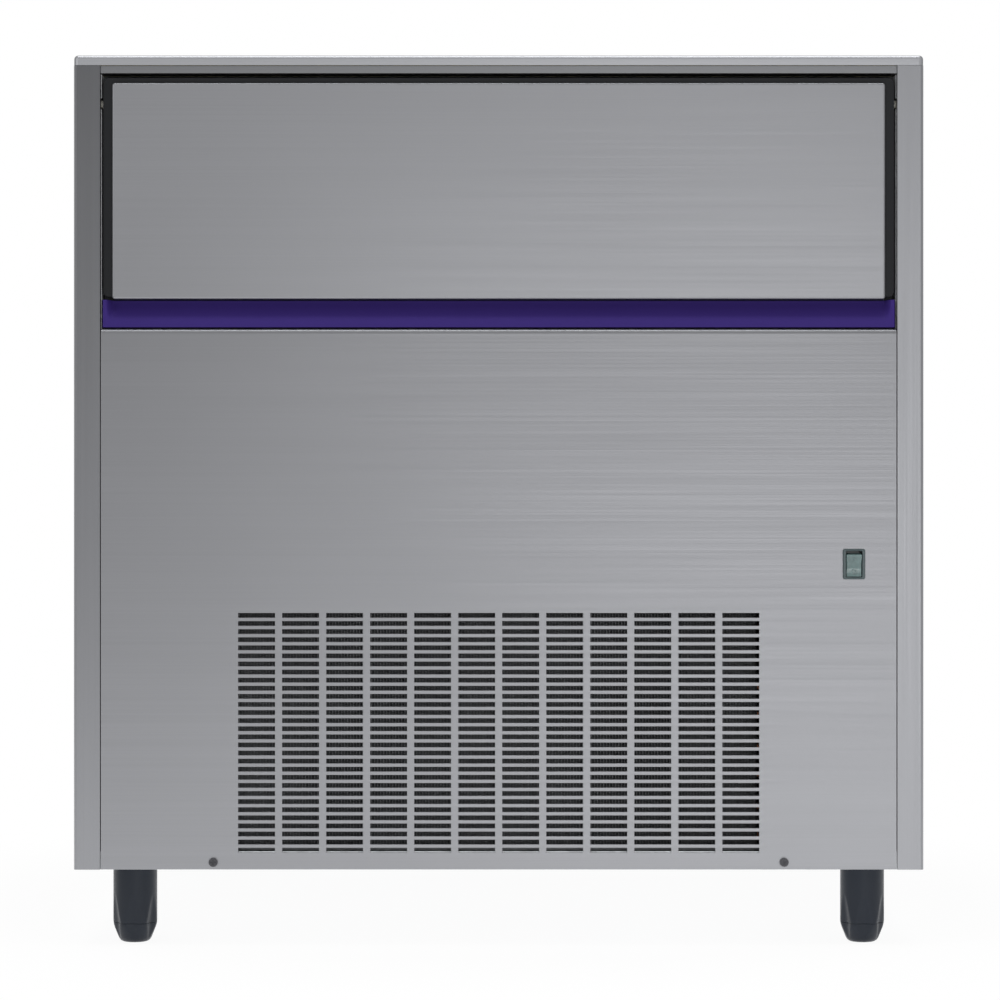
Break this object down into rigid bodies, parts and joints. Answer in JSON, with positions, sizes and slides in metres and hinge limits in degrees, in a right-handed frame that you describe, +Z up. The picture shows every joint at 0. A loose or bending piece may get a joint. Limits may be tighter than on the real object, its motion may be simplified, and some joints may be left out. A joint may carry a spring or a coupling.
{
  "type": "undercounter ice maker",
  "caption": "Steel undercounter ice maker with an up-and-in door over an insulated bin, a coloured grip strip, a slotted lower panel, a rocker switch and adjustable legs.",
  "frame": {"origin": "centre of the machine's bounding box in plan, on the floor under the feet", "axes": "+X to the right as seen from the front, +Y back from the front panel to the rear fittings, +Z up"},
  "size_m": [0.84, 0.7748, 0.88],
  "materials": {
    "cabinet_steel": "satin, brushed from side to side",
    "galvanised_steel": "plain zinc coat",
    "foam": "foamed insulation, unpainted",
    "screw_steel": "plain",
    "switch_frame": "satin gloss",
    "switch_paddle": "satin gloss",
    "leg_plastic": "moulded",
    "black_plastic": "moulded",
    "purple_plastic": "satin",
    "white_plastic": "moulded, food safe",
    "door_rubber": "soft",
    "acetal": "natural",
    "clear_plastic": "flexible, translucent",
    "copper": "bright copper",
    "aluminium_fins": "plain",
    "brass": "plain",
    "black_enamel": "gloss enamel"
  },
  "bodies": {
    "cabinet": {"base_pan": "galvanised_steel", "left_side_panel": "cabinet_steel", "right_side_panel": "cabinet_steel", "back_panel": "galvanised_steel", "top_cover": "cabinet_steel", "top_rail": "cabinet_steel", "top_insulation": "foam", "lower_front_panel": "cabinet_steel", "left_panel_screw": "screw_steel", "right_panel_screw": "screw_steel", "switch_housing": "switch_frame", "front_left_leg_sleeve": "leg_plastic", "front_right_leg_sleeve": "leg_plastic", "rear_left_leg_sleeve": "leg_plastic", "rear_right_leg_sleeve": "leg_plastic", "left_guide_rail": "galvanised_steel", "right_guide_rail": "galvanised_steel", "bin_insulation": "foam", "bin_liner": "white_plastic", "door_surround": "white_plastic", "water_tank": "white_plastic", "evaporator_plate": "copper", "evaporator_coil": "copper", "ice_slide": "white_plastic", "spray_bar": "black_plastic", "water_pump": "black_plastic", "pump_hose": "clear_plastic", "curtain_rod": "screw_steel", "condenser": "aluminium_fins", "fan_shroud": "galvanised_steel", "fan_motor": "black_enamel", "compressor": "black_enamel", "compressor_terminal_cover": "black_plastic", "filter_drier": "copper", "hot_gas_valve": "brass", "discharge_pipe": "copper", "hot_gas_pipe": "copper", "suction_pipe": "copper", "capillary_tube": "copper", "control_box": "black_plastic", "drain_pipe": "white_plastic", "water_inlet_valve": "white_plastic", "cable_gland": "black_plastic"},
    "door_carriage": {"left_door_runner": "acetal", "right_door_runner": "acetal"},
    "door": {"door_skin": "cabinet_steel", "door_frame": "black_plastic", "door_grip_strip": "purple_plastic", "door_liner": "white_plastic", "door_seal": "door_rubber"},
    "fan": {"condenser_fan": "aluminium_fins"},
    "rocker": {"switch_rocker": "switch_paddle"},
    "front_left_foot_screw": {"front_left_foot": "leg_plastic"},
    "front_right_foot_screw": {"front_right_foot": "leg_plastic"},
    "rear_left_foot_screw": {"rear_left_foot": "leg_plastic"},
    "rear_right_foot_screw": {"rear_right_foot": "leg_plastic"},
    "flap_1": {"curtain_flap_1": "clear_plastic"},
    "flap_2": {"curtain_flap_2": "clear_plastic"},
    "flap_3": {"curtain_flap_3": "clear_plastic"},
    "flap_4": {"curtain_flap_4": "clear_plastic"}
  },
  "joints": [
    {"name": "door_slide", "type": "slide", "parent": "cabinet", "child": "door_carriage", "axis": [0, 1, 0], "range_m": [0, 0.1951]},
    {"name": "door_hinge", "type": "hinge", "parent": "door_carriage", "child": "door", "pos_m": [0, -0.36561, 0.833], "axis": [-1, 0, 0], "range_deg": [0, 90]},
    {"name": "fan_spin", "type": "hinge", "parent": "cabinet", "child": "fan", "pos_m": [0, -0.28831, 0.205], "axis": [0, 1, 0], "continuous": true},
    {"name": "rocker_tilt", "type": "hinge", "parent": "cabinet", "child": "rocker", "pos_m": [0.351, -0.37661, 0.377], "axis": [-1, 0, 0], "range_deg": [0, 20]},
    {"name": "front_left_leg_height", "type": "slide", "parent": "cabinet", "child": "front_left_foot_screw", "axis": [0, 0, -1], "range_m": [0, 0.025]},
    {"name": "front_right_leg_height", "type": "slide", "parent": "cabinet", "child": "front_right_foot_screw", "axis": [0, 0, -1], "range_m": [0, 0.025]},
    {"name": "rear_left_leg_height", "type": "slide", "parent": "cabinet", "child": "rear_left_foot_screw", "axis": [0, 0, -1], "range_m": [0, 0.025]},
    {"name": "rear_right_leg_height", "type": "slide", "parent": "cabinet", "child": "rear_right_foot_screw", "axis": [0, 0, -1], "range_m": [0, 0.025]},
    {"name": "flap_1_swing", "type": "hinge", "parent": "cabinet", "child": "flap_1", "pos_m": [-0.2345, 0.03039, 0.776], "axis": [-1, 0, 0], "range_deg": [0, 70]},
    {"name": "flap_2_swing", "type": "hinge", "parent": "cabinet", "child": "flap_2", "pos_m": [-0.1115, 0.03039, 0.776], "axis": [-1, 0, 0], "range_deg": [0, 70]},
    {"name": "flap_3_swing", "type": "hinge", "parent": "cabinet", "child": "flap_3", "pos_m": [0.0115, 0.03039, 0.776], "axis": [-1, 0, 0], "range_deg": [0, 70]},
    {"name": "flap_4_swing", "type": "hinge", "parent": "cabinet", "child": "flap_4", "pos_m": [0.1345, 0.03039, 0.776], "axis": [-1, 0, 0], "range_deg": [0, 70]}
  ],
  "couplings": [
    {"joint": "door_slide", "follows": "door_hinge", "m_per_rad": 0.12414}
  ]
}
